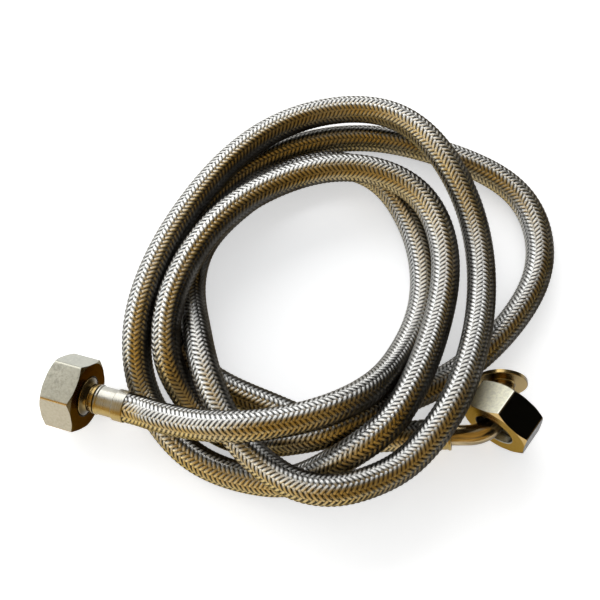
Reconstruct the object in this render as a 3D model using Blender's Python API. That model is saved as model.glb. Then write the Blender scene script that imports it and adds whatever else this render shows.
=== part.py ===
"""Braided dishwasher inlet hose with a straight union nut and an elbow union nut.

It lies coiled on a table. Metres, +Z up, origin on the table under the middle of the two fittings.
Each turned piece is modelled along its own +X axis and placed by an empty.
"""
import math

import bmesh
import bpy
import numpy as np
from mathutils import Euler, Vector

MM = 0.001
GAP = 0.3 * MM

# Hose
HOSE_D = 13.6 * MM
HOSE_POINT_COUNT = 88
TIGHT_BEND = 24 * MM
WIDE_BEND = 110 * MM

# Union nuts, for a 3/4 inch pipe thread
NUT_AF = 30.0 * MM
NUT_LENGTH = 15.0 * MM
NUT_SHOULDER = 3.0 * MM
NUT_HOLE_R = 9.0 * MM
NUT_THREAD_R = 12.3 * MM
NUT_CHAMFER = 1.2 * MM
NUT_RELIEF = 0.8 * MM

# The flange that each nut pulls on
FLANGE_CLEARANCE = 0.6 * MM
FLANGE_R = NUT_THREAD_R - FLANGE_CLEARANCE

# Sealing washer
WASHER_CLEARANCE = 0.8 * MM
WASHER_R = NUT_THREAD_R - WASHER_CLEARANCE
WASHER_HOLE_R = 6.75 * MM
WASHER_T = 2.5 * MM

# Straight tail
TAIL_FLANGE_T = 2.5 * MM
TAIL_NECK_PROUD = 0.4 * MM
TAIL_COLLAR_R = 6.4 * MM
TAIL_COLLAR_SLOPE = 1.9 * MM
TAIL_GROOVE_R = 5.6 * MM
TAIL_GROOVE_W = 0.7 * MM
TAIL_RING_R = 6.6 * MM
TAIL_RING_W = 2.0 * MM
TAIL_EDGE = 0.25 * MM
STEM_R = 4.4 * MM
STEM_BORE_R = 3.5 * MM
BARB_R = 4.9 * MM
BARB_COUNT = 4
BARB_PITCH = 2.9 * MM

# Ferrules
FERRULE_LENGTH = 14.2 * MM
FERRULE_R = 6.45 * MM
FERRULE_BEAD_R = 6.8 * MM
FERRULE_BEAD_W = 1.5 * MM
FERRULE_BAND_R = 7.15 * MM
FERRULE_BAND_W = 5.3 * MM
FERRULE_EDGE = 0.45 * MM

# Elbow
TUBE_R = 4.6 * MM
TUBE_BORE_R = 3.5 * MM
TUBE_BEND_R = 15.0 * MM
TUBE_BEND_STEPS = 14
ELBOW_ANGLE = math.radians(88)
ELBOW_LEG_IN = 21.7 * MM
ELBOW_LEG_OUT = 24.8 * MM
FLANGE_T = 2.0 * MM
FLANGE_EDGE = 0.25 * MM
HUB_WALL = 0.9 * MM
HUB_LENGTH = 3.5 * MM
SLEEVE_DEPTH = 0.5 * MM

# Where the fittings lie, and how they are turned: yaw, pitch up, roll
STRAIGHT_XY = (-91.05 * MM, 2.15 * MM)
STRAIGHT_TURN = (math.radians(-16.75), math.radians(7), 0.0)
ELBOW_XY = (92.05 * MM, -15.35 * MM)
ELBOW_TURN = (math.radians(-2.5), math.radians(12.8), math.radians(-12.6))
ELBOW_NUT_OFFSET = (-3.35 * MM, 2.15 * MM)
ELBOW_NUT_TURN = (math.radians(-128.1), math.radians(2.5), math.radians(41.2))
LEAD_STRAIGHT = 7 * MM
LEAD_ELBOW = 3 * MM

TURNED_STEPS = 36
TUBE_STEPS = 24

# The hose's route in millimetres, from the straight fitting to the elbow
ROUTE_MM = [
    (-58, -8.5, 23.5), (-41, -13.5, 31.5), (-24, -16, 39), (-0.5, -13.5, 39.5), (18.5, -7.5, 37.5),
    (34.5, 2.5, 30), (50, 22, 15), (61.5, 48.5, 7.5), (62.5, 74.5, 7), (55.5, 97.5, 7.5),
    (43.5, 114, 9), (26, 122, 10), (6, 120.5, 10.5), (-13.5, 109.5, 11.5), (-32.5, 92.5, 12.5),
    (-44.5, 75.5, 11.5), (-48, 56.5, 10), (-44.5, 36, 16), (-39, 14.5, 22.5), (-33.5, 0, 23),
    (-21.5, -20, 23.5), (-11, -30, 25.5), (1.5, -38, 29), (17, -41, 31.5), (32.5, -37.5, 30),
    (46.5, -30.5, 29), (60.5, -17, 31), (69.5, -4, 32), (77, 12, 29), (87, 45.5, 19), (87.5, 87, 15.5),
    (75.5, 116.5, 22), (49.5, 144.5, 21), (16, 147.5, 19), (-18.5, 130, 21), (-46.5, 97, 22),
    (-64.5, 61, 21.5), (-71, 31, 17), (-66.5, 4, 7.5), (-57.5, -10, 7), (-46, -21.5, 7),
    (-18.5, -33, 7.5), (-1.5, -34.5, 11), (12, -31, 19), (26, -24.5, 29), (40, -14.5, 32),
    (52, 2.5, 30.5), (65.5, 34, 22), (71.5, 72, 20), (60, 100.5, 22), (27.5, 113, 24.5),
    (-3.5, 106, 25.5), (-31, 87.5, 26.5), (-49.5, 60.5, 26), (-56.5, 36, 24), (-55, 17, 19.5),
    (-47.5, 3, 11), (-35.5, -10, 7.5), (-13.5, -17, 9.5), (2.5, -17, 17), (16, -15, 21.5),
    (32, -8, 20.5), (47.5, 0.5, 13), (63, 8, 8.5), (79.5, 18, 7), (104, 41, 7), (120, 73, 7),
    (114, 105, 7), (78.5, 129.5, 7), (39.5, 139.5, 7), (3.5, 135, 7), (-26.5, 119.5, 7),
    (-50.5, 93, 7), (-63.5, 59, 7), (-55.5, 31.5, 7), (-34.5, 11, 7), (-11, 0, 7), (17, -11, 7),
    (38, -14.5, 7),
]


def clear_scene():
    for item in list(bpy.data.objects):
        bpy.data.objects.remove(item)


def material(name, colour, roughness, metallic):
    made = bpy.data.materials.new(name)
    made.use_nodes = True
    shader = made.node_tree.nodes["Principled BSDF"]
    shader.inputs["Base Color"].default_value = (*colour, 1.0)
    shader.inputs["Roughness"].default_value = roughness
    shader.inputs["Metallic"].default_value = metallic
    return made


def brass():
    return material("brass", (0.62, 0.47, 0.26), 0.3, 1.0)


def nickel():
    return material("nickel", (0.66, 0.63, 0.58), 0.25, 1.0)


def crimped_steel():
    return material("crimped_steel", (0.7, 0.69, 0.67), 0.28, 1.0)


def braided_steel():
    return material("braided_steel", (0.62, 0.62, 0.62), 0.35, 1.0)


def sealing_rubber():
    return material("sealing_rubber", (0.03, 0.03, 0.03), 0.7, 0.0)


def link(name, data, parent, look):
    made = bpy.data.objects.new(name, data)
    bpy.context.collection.objects.link(made)
    made.parent = parent
    if look:
        data.materials.append(look)
    return made


def empty(name, location, turn, parent=None):
    made = bpy.data.objects.new(name, None)
    bpy.context.collection.objects.link(made)
    made.location = location
    made.rotation_euler = euler(turn)
    made.parent = parent
    return made


def euler(turn):
    yaw, pitch, roll = turn
    return Euler((roll, -pitch, yaw))


def smooth(mesh):
    mesh.shade_smooth()
    mesh.set_sharp_from_angle(angle=math.radians(30))


def turned(name, profile, parent, look, steps=TURNED_STEPS):
    """A closed (x, radius) outline turned once round the X axis."""
    shape = bmesh.new()
    corners = [shape.verts.new((x, 0, radius)) for x, radius in profile]
    edges = [shape.edges.new((a, b)) for a, b in zip(corners, corners[1:] + corners[:1])]
    bmesh.ops.spin(shape, geom=corners + edges, axis=(1, 0, 0), cent=(0, 0, 0),
                   angle=2 * math.pi, steps=steps, use_merge=True)
    bmesh.ops.remove_doubles(shape, verts=shape.verts, dist=0.00001)
    bmesh.ops.recalc_face_normals(shape, faces=shape.faces)
    mesh = bpy.data.meshes.new(name)
    shape.to_mesh(mesh)
    shape.free()
    smooth(mesh)
    return link(name, mesh, parent, look)


def cutter(name, profile, parent):
    guide = turned(name, profile, parent, None)
    guide.hide_render = True
    guide.display_type = "WIRE"
    return guide


def boolean(target, tool, operation):
    step = target.modifiers.new(tool.name, "BOOLEAN")
    step.operation = operation
    step.solver = "EXACT"
    step.object = tool


def nut_rest_height(turn):
    """Height of the shoulder face's centre when the nut's lowest corner meets the table."""
    pitch, roll = turn[1], turn[2]
    reach = max(abs(math.sin(roll + k * math.pi / 3)) for k in range(6)) * NUT_AF / math.sqrt(3)
    return reach * math.cos(pitch) + NUT_LENGTH * math.sin(pitch)


def union_nut(name, parent):
    """Hexagon with conical end chamfers; the shoulder's outer face is at x = 0."""
    corner_r = NUT_AF / math.sqrt(3)
    shape = bmesh.new()
    ring = bmesh.ops.create_circle(shape, cap_ends=True, segments=6, radius=corner_r)
    bmesh.ops.rotate(shape, verts=ring["verts"], cent=(0, 0, 0),
                     matrix=Euler((0, math.pi / 2, 0)).to_matrix())
    bmesh.ops.translate(shape, verts=ring["verts"], vec=(-NUT_LENGTH, 0, 0))
    grown = bmesh.ops.extrude_face_region(shape, geom=shape.faces[:])
    tops = [item for item in grown["geom"] if isinstance(item, bmesh.types.BMVert)]
    bmesh.ops.translate(shape, verts=tops, vec=(NUT_LENGTH, 0, 0))
    bmesh.ops.recalc_face_normals(shape, faces=shape.faces)
    mesh = bpy.data.meshes.new(name)
    shape.to_mesh(mesh)
    shape.free()
    smooth(mesh)
    nut = link(name, mesh, parent, nickel())
    boolean(nut, nut_chamfer(name, corner_r, parent), "INTERSECT")
    boolean(nut, nut_bore(name, parent), "DIFFERENCE")
    return nut


def nut_chamfer(name, corner_r, parent):
    """A turned barrel that trims the hexagon's corners at both ends."""
    end_r = NUT_AF / 2 + 0.2 * MM
    full_r = corner_r + 0.4 * MM
    beyond = NUT_CHAMFER * 0.2
    outline = [(-NUT_LENGTH, 0.5 * MM), (-NUT_LENGTH, end_r),
               (-NUT_LENGTH + NUT_CHAMFER + beyond, full_r), (-NUT_CHAMFER - beyond, full_r),
               (0, end_r), (0, 0.5 * MM)]
    return cutter(name + "_chamfer_guide", outline, parent)


def nut_bore(name, parent):
    """The threaded bore from the mouth to the shoulder, and the shoulder's own hole."""
    floor = -NUT_SHOULDER
    mouth = -NUT_LENGTH
    outline = [(mouth - MM, 0.2 * MM), (mouth - MM, NUT_THREAD_R + NUT_RELIEF + MM),
               (mouth + NUT_RELIEF, NUT_THREAD_R), (floor, NUT_THREAD_R), (floor, NUT_HOLE_R),
               (MM, NUT_HOLE_R), (MM, 0.2 * MM)]
    return cutter(name + "_bore_guide", outline, parent)


def washer(name, start, parent):
    """A flat ring whose face nearest the hose is at start."""
    far = start - WASHER_T
    outline = [(far, WASHER_HOLE_R), (far, WASHER_R), (start, WASHER_R), (start, WASHER_HOLE_R)]
    return turned(name, outline, parent, sealing_rubber())


def barbs(start, end, root_r):
    """Saw teeth that hold the hose, each with its step towards the nut."""
    outline = []
    room = end - start
    pitch = min(BARB_PITCH, room / BARB_COUNT)
    first = end - pitch * BARB_COUNT
    for k in range(BARB_COUNT):
        tooth = first + pitch * k
        outline += [(tooth, root_r), (tooth, BARB_R), (tooth + pitch * 0.3, BARB_R)]
    return outline


def straight_tail(name, parent):
    """Flange inside the nut, neck through the shoulder, collar and barbed stem."""
    back = -NUT_SHOULDER - GAP
    face = back - TAIL_FLANGE_T
    neck_r = NUT_HOLE_R - GAP
    stem_end = ferrule_start() + FERRULE_LENGTH - GAP
    ring_end = ferrule_start() - GAP
    ring = ring_end - TAIL_RING_W
    groove = ring - TAIL_GROOVE_W
    slope = groove - TAIL_COLLAR_SLOPE
    outline = [(face, STEM_BORE_R), (face, FLANGE_R - TAIL_EDGE), (face + TAIL_EDGE, FLANGE_R),
               (back - TAIL_EDGE, FLANGE_R), (back, FLANGE_R - TAIL_EDGE), (back, neck_r),
               (slope, neck_r), (groove, TAIL_COLLAR_R), (groove, TAIL_GROOVE_R),
               (ring, TAIL_GROOVE_R), (ring, TAIL_RING_R - TAIL_EDGE), (ring + TAIL_EDGE, TAIL_RING_R),
               (ring_end, TAIL_RING_R), (ring_end, STEM_R)]
    outline += barbs(ring_end + GAP, stem_end, STEM_R)
    outline += [(stem_end, STEM_R), (stem_end, STEM_BORE_R)]
    return turned(name, outline, parent, brass())


def ferrule_start():
    """Distance from the nut's shoulder face to the straight ferrule."""
    return TAIL_NECK_PROUD + TAIL_COLLAR_SLOPE + TAIL_GROOVE_W + TAIL_RING_W + GAP


def ferrule(name, start, parent):
    """A crimped sleeve with a bead at the fitting's end and a band at the hose's end."""
    end = start + FERRULE_LENGTH
    bore_r = BARB_R + GAP
    bead_end = start + FERRULE_BEAD_W
    band = end - FERRULE_BAND_W
    step = FERRULE_EDGE
    outline = [(start, bore_r), (start, FERRULE_BEAD_R - step), (start + step, FERRULE_BEAD_R),
               (bead_end - step, FERRULE_BEAD_R), (bead_end, FERRULE_R),
               (band, FERRULE_R), (band + step, FERRULE_BAND_R),
               (end - step, FERRULE_BAND_R), (end, FERRULE_BAND_R - step), (end, bore_r)]
    return turned(name, outline, parent, crimped_steel())


def elbow_tube(name, parent):
    """A round tube: a straight leg, the bend, and a straight leg to the flange."""
    tangent = TUBE_BEND_R * math.tan(ELBOW_ANGLE / 2)
    start = -ELBOW_LEG_IN - FERRULE_LENGTH + GAP
    shape = bmesh.new()
    rings = []
    for radius in (TUBE_R, TUBE_BORE_R):
        circle = bmesh.ops.create_circle(shape, segments=TUBE_STEPS, radius=radius)
        rings += circle["verts"]
    bmesh.ops.bridge_loops(shape, edges=shape.edges[:])
    bmesh.ops.rotate(shape, verts=shape.verts, cent=(0, 0, 0),
                     matrix=Euler((0, math.pi / 2, 0)).to_matrix())
    bmesh.ops.translate(shape, verts=shape.verts, vec=(start, 0, 0))
    end = grow(shape, shape.faces[:], (-tangent - start, 0, 0))
    turned_end = bmesh.ops.spin(shape, geom=region(end), cent=(-tangent, TUBE_BEND_R, 0), axis=(0, 0, 1),
                                angle=ELBOW_ANGLE, steps=TUBE_BEND_STEPS)
    last = [item for item in turned_end["geom_last"] if isinstance(item, bmesh.types.BMFace)]
    reach = ELBOW_LEG_OUT + FLANGE_T - GAP - tangent
    grow(shape, last, (reach * math.cos(ELBOW_ANGLE), reach * math.sin(ELBOW_ANGLE), 0))
    bmesh.ops.recalc_face_normals(shape, faces=shape.faces)
    mesh = bpy.data.meshes.new(name)
    shape.to_mesh(mesh)
    shape.free()
    smooth(mesh)
    tube = link(name, mesh, parent, nickel())
    inner = TUBE_R - SLEEVE_DEPTH
    first, last = start + GAP, -ELBOW_LEG_IN - GAP
    teeth = [(first, inner)] + barb_sleeve(first, last) + [(last, inner)]
    boolean(tube, cutter(name + "_barb_guide", teeth, parent), "UNION")
    return tube


def barb_sleeve(start, end):
    """Saw teeth on the tube's own end, with their steps towards the bend."""
    outline = [(start, TUBE_R - SLEEVE_DEPTH / 2)]
    pitch = min(BARB_PITCH, (end - start) / BARB_COUNT)
    for k in range(BARB_COUNT):
        tooth = start + pitch * (k + 1)
        outline += [(tooth - pitch * 0.3, BARB_R), (tooth, BARB_R), (tooth, TUBE_R - SLEEVE_DEPTH / 2)]
    return outline


def region(faces):
    edges = dict.fromkeys(edge for face in faces for edge in face.edges)
    corners = dict.fromkeys(corner for face in faces for corner in face.verts)
    return faces + list(edges) + list(corners)


def grow(shape, faces, offset):
    grown = bmesh.ops.extrude_face_region(shape, geom=region(faces))["geom"]
    corners = [item for item in grown if isinstance(item, bmesh.types.BMVert)]
    bmesh.ops.translate(shape, verts=corners, vec=offset)
    return [item for item in grown if isinstance(item, bmesh.types.BMFace)]


def elbow_flange(name, parent):
    """The disc that the loose nut pulls on, with a hub round the tube's end."""
    face = ELBOW_LEG_OUT + FLANGE_T
    bore_r = TUBE_R + GAP
    hub_r = bore_r + HUB_WALL
    edge = FLANGE_EDGE
    hub = ELBOW_LEG_OUT - HUB_LENGTH
    outline = [(hub, bore_r), (hub, hub_r - edge), (hub + edge, hub_r), (ELBOW_LEG_OUT, hub_r),
               (ELBOW_LEG_OUT, FLANGE_R - edge), (ELBOW_LEG_OUT + edge, FLANGE_R),
               (face - edge, FLANGE_R), (face, FLANGE_R - edge), (face, bore_r)]
    return turned(name, outline, parent, brass())


def elbow_height():
    """Height of the elbow's corner when the flange's rim meets the table."""
    out = euler(ELBOW_TURN).to_matrix() @ Vector((math.cos(ELBOW_ANGLE), math.sin(ELBOW_ANGLE), 0))
    rim = FLANGE_R * math.sqrt(1 - out.z ** 2)
    return rim - (ELBOW_LEG_OUT + FLANGE_T) * out.z


def smooth_curve(points, step):
    """Natural cubic spline through the points, read at every step along it."""
    points = np.array(points)
    along = np.concatenate([[0], np.cumsum(np.linalg.norm(np.diff(points, axis=0), axis=1))])
    gap = np.diff(along)
    count = len(points)
    system = np.eye(count)
    right = np.zeros((count, 3))
    for i in range(1, count - 1):
        system[i, i - 1:i + 2] = gap[i - 1], 2 * (gap[i - 1] + gap[i]), gap[i]
        rise = (points[i + 1] - points[i]) / gap[i] - (points[i] - points[i - 1]) / gap[i - 1]
        right[i] = 6 * rise
    bend = np.linalg.solve(system, right)
    curve = []
    for place in np.linspace(0, along[-1], int(along[-1] / step) + 1):
        i = min(int(np.searchsorted(along, place, side="right")) - 1, count - 2)
        before, after = along[i + 1] - place, place - along[i]
        cubic = (bend[i] * before ** 3 + bend[i + 1] * after ** 3) / (6 * gap[i])
        low = (points[i] / gap[i] - bend[i] * gap[i] / 6) * before
        high = (points[i + 1] / gap[i] - bend[i + 1] * gap[i] / 6) * after
        curve.append(cubic + low + high)
    return np.array(curve)


def read_by_bend(curve, count):
    """Points along the curve, closer together where it bends more tightly."""
    steps = np.diff(curve, axis=0)
    length = np.linalg.norm(steps, axis=1)
    tangent = steps / length[:, None]
    turn = np.zeros(len(curve))
    turn[1:-1] = np.linalg.norm(np.diff(tangent, axis=0), axis=1) / length[1:]
    window = 9
    padded = np.pad(turn, window, mode="edge")
    turn = np.convolve(padded, np.ones(2 * window + 1) / (2 * window + 1), "valid")
    radius = np.clip(1 / np.maximum(turn, 1e-6), TIGHT_BEND, WIDE_BEND)
    cost = np.concatenate([[0], np.cumsum(length / np.sqrt((radius[1:] + radius[:-1]) / 2))])
    wanted = np.linspace(0, cost[-1], count)
    return np.stack([np.interp(wanted, cost, curve[:, axis]) for axis in range(3)], axis=1)


def hose_route(straight, elbow):
    """The whole route: the chosen points between the two ferrules' mouths."""
    out = straight.matrix_world.to_3x3() @ Vector((1, 0, 0))
    mouth = straight.matrix_world @ Vector((ferrule_start() + FERRULE_LENGTH + GAP, 0, 0))
    back = elbow.matrix_world.to_3x3() @ Vector((-1, 0, 0))
    last = elbow.matrix_world @ Vector((-ELBOW_LEG_IN - FERRULE_LENGTH - GAP, 0, 0))
    middle = [Vector(point) * MM for point in ROUTE_MM]
    return [mouth, mouth + out * LEAD_STRAIGHT] + middle + [last + back * LEAD_ELBOW, last]


def hose(name, straight, elbow):
    route = hose_route(straight, elbow)
    curve = smooth_curve(route, MM)
    leads = [int(LEAD_STRAIGHT / MM), len(curve) - int(LEAD_ELBOW / MM)]
    between = read_by_bend(curve[leads[0]:leads[1]], HOSE_POINT_COUNT - 2)[1:-1]
    points = route[:2] + list(between) + route[-2:]
    data = bpy.data.curves.new(name, "CURVE")
    data.dimensions = "3D"
    data.bevel_depth = HOSE_D / 2
    data.bevel_resolution = 4
    data.use_fill_caps = True
    line = data.splines.new("POLY")
    line.points.add(len(points) - 1)
    for point, place in zip(line.points, points):
        point.co = (*place, 1.0)
    return link(name, data, None, braided_steel())


def straight_fitting():
    height = nut_rest_height(STRAIGHT_TURN)
    place = empty("straight_fitting", (*STRAIGHT_XY, height), STRAIGHT_TURN)
    union_nut("straight_union_nut", place)
    straight_tail("straight_tail", place)
    washer("straight_sealing_washer", -NUT_SHOULDER - TAIL_FLANGE_T - 2 * GAP, place)
    ferrule("straight_ferrule", ferrule_start(), place)
    return place


def elbow_fitting():
    place = empty("elbow_fitting", (*ELBOW_XY, elbow_height()), ELBOW_TURN)
    elbow_tube("elbow_tube", place)
    inward = empty("elbow_inlet", (-ELBOW_LEG_IN, 0, 0), (math.pi, 0, 0), place)
    ferrule("elbow_ferrule", 0, inward)
    outlet = empty("elbow_outlet", (0, 0, 0), (ELBOW_ANGLE, 0, 0), place)
    elbow_flange("elbow_flange", outlet)
    nut_height = nut_rest_height(ELBOW_NUT_TURN)
    nut_xy = [corner + shift for corner, shift in zip(ELBOW_XY, ELBOW_NUT_OFFSET)]
    nut_place = empty("elbow_nut_place", (*nut_xy, nut_height), ELBOW_NUT_TURN)
    union_nut("elbow_union_nut", nut_place)
    return place


def main():
    clear_scene()
    straight = straight_fitting()
    elbow = elbow_fitting()
    bpy.context.view_layer.update()
    hose("hose", straight, elbow)


main()
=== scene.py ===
"""Dressed look of the braided dishwasher inlet hose.

Laid out as an add-on and run as a script. Metres, +Z up, in the part's own frame.
"""

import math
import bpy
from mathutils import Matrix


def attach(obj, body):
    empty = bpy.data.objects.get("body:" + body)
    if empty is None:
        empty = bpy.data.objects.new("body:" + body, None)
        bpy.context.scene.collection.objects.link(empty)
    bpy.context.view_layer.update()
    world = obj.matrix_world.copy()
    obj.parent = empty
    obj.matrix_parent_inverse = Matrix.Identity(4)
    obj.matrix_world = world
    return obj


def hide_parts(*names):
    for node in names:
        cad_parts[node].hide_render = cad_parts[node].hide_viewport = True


bl_info = {
    "name": "Braided Inlet Hose",
    "version": (1, 0, 0),
    "blender": (4, 5, 0),
    "location": "3D View > Sidebar > Hose",
    "description": "Builds the woven hose, its nuts, tail, ferrules and elbow, and the stage",
    "category": "Object",
}

import bmesh
import bpy
import numpy as np
from bpy.props import FloatProperty, FloatVectorProperty, IntProperty, PointerProperty
from bpy.types import Operator, Panel, PropertyGroup
from mathutils import Euler, Matrix, Vector

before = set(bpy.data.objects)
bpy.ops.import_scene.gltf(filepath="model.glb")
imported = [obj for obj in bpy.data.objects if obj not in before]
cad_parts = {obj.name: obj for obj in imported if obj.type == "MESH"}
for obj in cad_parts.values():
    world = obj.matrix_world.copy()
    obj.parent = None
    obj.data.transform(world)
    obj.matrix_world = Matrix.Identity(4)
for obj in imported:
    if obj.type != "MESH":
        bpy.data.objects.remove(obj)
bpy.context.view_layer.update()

MM = 0.001
ROOM_RADIUS = 1.8
WALL_HEIGHT = 0.75

# Where the fittings lie: the place of each one's origin and its roll, pitch down and yaw
STRAIGHT_PLACE = ((-0.09105, 0.00215, 0.01671623), (0.0, -math.radians(7), -math.radians(16.75)))
ELBOW_PLACE = ((0.09205, -0.01535, 0.0169421),
               (-math.radians(12.6), -math.radians(12.8), -math.radians(2.5)))
ELBOW_NUT_PLACE = ((0.0887, -0.0132, 0.01762876),
                   (math.radians(41.2), -math.radians(2.5), -math.radians(128.1)))
ELBOW_ANGLE = math.radians(88)

# Along the fittings: where the straight ferrule starts and ends, how far the elbow's leg reaches
# before its ferrule, and where the hose leaves that ferrule, from the ferrule's own start
FERRULE_START = 5.3 * MM
STRAIGHT_MOUTH = 19.8 * MM
ELBOW_LEG_IN = 21.7 * MM
ELBOW_MOUTH = 14.5 * MM

# How far the hose runs straight out of each fitting
LEAD_STRAIGHT = 7 * MM
LEAD_ELBOW = 3 * MM

# Sides of the room that the painted light, shade and reflections follow: the direction, and how far
# a surface has to face it for the paint to start and to be full
# Painted gold reflection on the braid, where its wires face the front
BRAID_PAINTED_GOLD_REFLECTION_SIDE = {"Direction": (0.45, -0.85, 0.0), "From": -0.2, "To": 0.3}
# Painted shade: the braid turns nearly black where it faces right and down
BRAID_PAINTED_SHADE_SIDE = {"Direction": (0.75, 0.2, -0.6), "From": -0.39, "To": -0.03}
# Painted shade on the fittings: nearly black where they face right, front and down
FITTING_SHADE = {"Direction": (0.85, -0.2, -0.45), "From": -0.1, "To": 0.55}
# Painted gold reflection low on the ferrules, on the side that faces the front
FERRULE_PAINTED_REFLECTION_SIDE = {"Direction": (0.2, -0.95, -0.2), "From": 0.0, "To": 0.4}
# Painted warm reflection on the nut's flats that face the front
NUT_PAINTED_WARM_REFLECTION_SIDE = {"Direction": (-0.2, -0.95, -0.2), "From": 0.2, "To": 0.8}
# The nuts' worn gold is partly a painted reflection: strips that face back go back to nickel
NUT_BACK_NO_PAINTED_GLINT = {"Direction": (0.0, 1.0, 0.0), "From": 0.02, "To": 0.2}
# Painted light: nut flats that face up, left and back are painted pale
NUT_PAINTED_LIGHT_SIDE = {"Direction": (-0.5, 0.43, 0.75), "From": 0.86, "To": 0.97}
# Painted shade: nut flats that face right and front are painted nearly black
NUT_PAINTED_SHADE_SIDE = {"Direction": (0.9, -0.45, 0.0), "From": 0.15, "To": 0.3}

# Colour of the metal's reflections at a grazing angle
BRAID_GRAZING = (0.38, 0.34, 0.28)
WORN_GRAZING = (0.22, 0.18, 0.12)

# Radius in millimetres of the round blank that a nut's flats are cut from, and the nut's second
# material, on its worn corners and ends, whose gold is partly wear and partly a painted reflection
NUT_BLANK = 20.0
WORN_AND_PAINTED_GLINT = 1

# Points of the route from one of the liner's points to the next, and rows in one unit of the
# weave's map
LINER_STEP = 6
MAP_ROWS = 16.0

# Kinds of node group sockets
VECTOR = "NodeSocketVector"
FLOAT = "NodeSocketFloat"

# The hose's route, from the straight fitting to the elbow
ROUTE = [
    (-0.058, -0.0085, 0.0235), (-0.041, -0.0135, 0.0315), (-0.024, -0.016, 0.039),
    (-0.0005, -0.0135, 0.0395), (0.0185, -0.0075, 0.0375), (0.0345, 0.0025, 0.03),
    (0.05, 0.022, 0.015), (0.0615, 0.0485, 0.0075), (0.0625, 0.0745, 0.007), (0.0555, 0.0975, 0.0075),
    (0.0435, 0.114, 0.009), (0.026, 0.122, 0.01), (0.006, 0.1205, 0.0105), (-0.0135, 0.1095, 0.0115),
    (-0.0325, 0.0925, 0.0125), (-0.0445, 0.0755, 0.0115), (-0.048, 0.0565, 0.01),
    (-0.0445, 0.036, 0.016), (-0.039, 0.0145, 0.0225), (-0.0335, 0, 0.023), (-0.0215, -0.02, 0.0235),
    (-0.011, -0.03, 0.0255), (0.0015, -0.038, 0.029), (0.017, -0.041, 0.0315), (0.0325, -0.0375, 0.03),
    (0.0465, -0.0305, 0.029), (0.0605, -0.017, 0.031), (0.0695, -0.004, 0.032), (0.077, 0.012, 0.029),
    (0.087, 0.0455, 0.019), (0.0875, 0.087, 0.0155), (0.0755, 0.1165, 0.022), (0.0495, 0.1445, 0.021),
    (0.016, 0.1475, 0.019), (-0.0185, 0.13, 0.021), (-0.0465, 0.097, 0.022), (-0.0645, 0.061, 0.0215),
    (-0.071, 0.031, 0.017), (-0.0665, 0.004, 0.0075), (-0.0575, -0.01, 0.007),
    (-0.046, -0.0215, 0.007), (-0.0185, -0.033, 0.0075), (-0.0015, -0.0345, 0.011),
    (0.012, -0.031, 0.019), (0.026, -0.0245, 0.029), (0.04, -0.0145, 0.032), (0.052, 0.0025, 0.0305),
    (0.0655, 0.034, 0.022), (0.0715, 0.072, 0.02), (0.06, 0.1005, 0.022), (0.0275, 0.113, 0.0245),
    (-0.0035, 0.106, 0.0255), (-0.031, 0.0875, 0.0265), (-0.0495, 0.0605, 0.026),
    (-0.0565, 0.036, 0.024), (-0.055, 0.017, 0.0195), (-0.0475, 0.003, 0.011),
    (-0.0355, -0.01, 0.0075), (-0.0135, -0.017, 0.0095), (0.0025, -0.017, 0.017),
    (0.016, -0.015, 0.0215), (0.032, -0.008, 0.0205), (0.0475, 0.0005, 0.013), (0.063, 0.008, 0.0085),
    (0.0795, 0.018, 0.007), (0.104, 0.041, 0.007), (0.12, 0.073, 0.007), (0.114, 0.105, 0.007),
    (0.0785, 0.1295, 0.007), (0.0395, 0.1395, 0.007), (0.0035, 0.135, 0.007), (-0.0265, 0.1195, 0.007),
    (-0.0505, 0.093, 0.007), (-0.0635, 0.059, 0.007), (-0.0555, 0.0315, 0.007),
    (-0.0345, 0.011, 0.007), (-0.011, 0, 0.007), (0.017, -0.011, 0.007), (0.038, -0.0145, 0.007),
]


def length_in_mm(name, description, value):
    return FloatProperty(name=name, description=description, default=value * MM, unit="LENGTH", precision=4)


def colour_value(name, description, value):
    return FloatVectorProperty(name=name, description=description, default=value, size=3, subtype="COLOR")


def lamp_power(name, description, value):
    return FloatProperty(name=name, description=description, default=value, subtype="POWER")


class BraidSettings(PropertyGroup):
    outer_radius: length_in_mm("Outer radius", "Radius over the braid", 6.8)
    liner_radius: length_in_mm("Liner radius", "Radius of the rubber tube under the braid", 6.2)
    strand_count: IntProperty(name="Strands", description="Strands that wind each way", default=12)
    wires: IntProperty(name="Wires", description="Wires side by side in a strand", default=7)
    steps: IntProperty(name="Steps", description="Rows of a strand's mesh from one crossing to the next",
                       default=2)
    wind_angle: FloatProperty(name="Wind angle", description="Angle of a strand from the hose's axis",
                              default=math.radians(57.5), subtype="ANGLE")
    strand_width: length_in_mm("Strand width", "Width of one flat strand of wires", 1.74)
    strand_height: length_in_mm("Strand height", "Thickness of one strand at its middle", 0.4)
    lift: length_in_mm("Lift", "How far a strand rises and falls from the middle layer", 0.23)
    tuck: length_in_mm("Tuck", "Length of the braid inside each ferrule", 1.2)
    real_length: FloatProperty(name="Length", description="Length of the hose between the ferrules",
                               default=2.05, unit="LENGTH")


class NutSettings(PropertyGroup):
    across_flats: length_in_mm("Across flats", "Width of the nut's hexagon", 30)
    length: length_in_mm("Length", "Length of the nut", 15)
    shoulder: length_in_mm("Shoulder", "Thickness of the wall behind the thread", 3)
    hole_radius: length_in_mm("Hole radius", "Radius of the hole in the shoulder", 9)
    root_radius: length_in_mm("Thread root radius", "Radius at the bottom of the thread", 12.95)
    crest_radius: length_in_mm("Thread crest radius", "Radius at the tip of the thread", 12.15)
    pitch: length_in_mm("Thread pitch", "Distance from one thread to the next", 1.814)
    chamfer: length_in_mm("Chamfer", "Length of the cone that trims the corners", 1.44)
    edge: length_in_mm("Worn edge", "How far the long corners are rounded", 0.5)
    small_edge: length_in_mm("Small edge", "Width of the other eased edges", 0.1)


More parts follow.
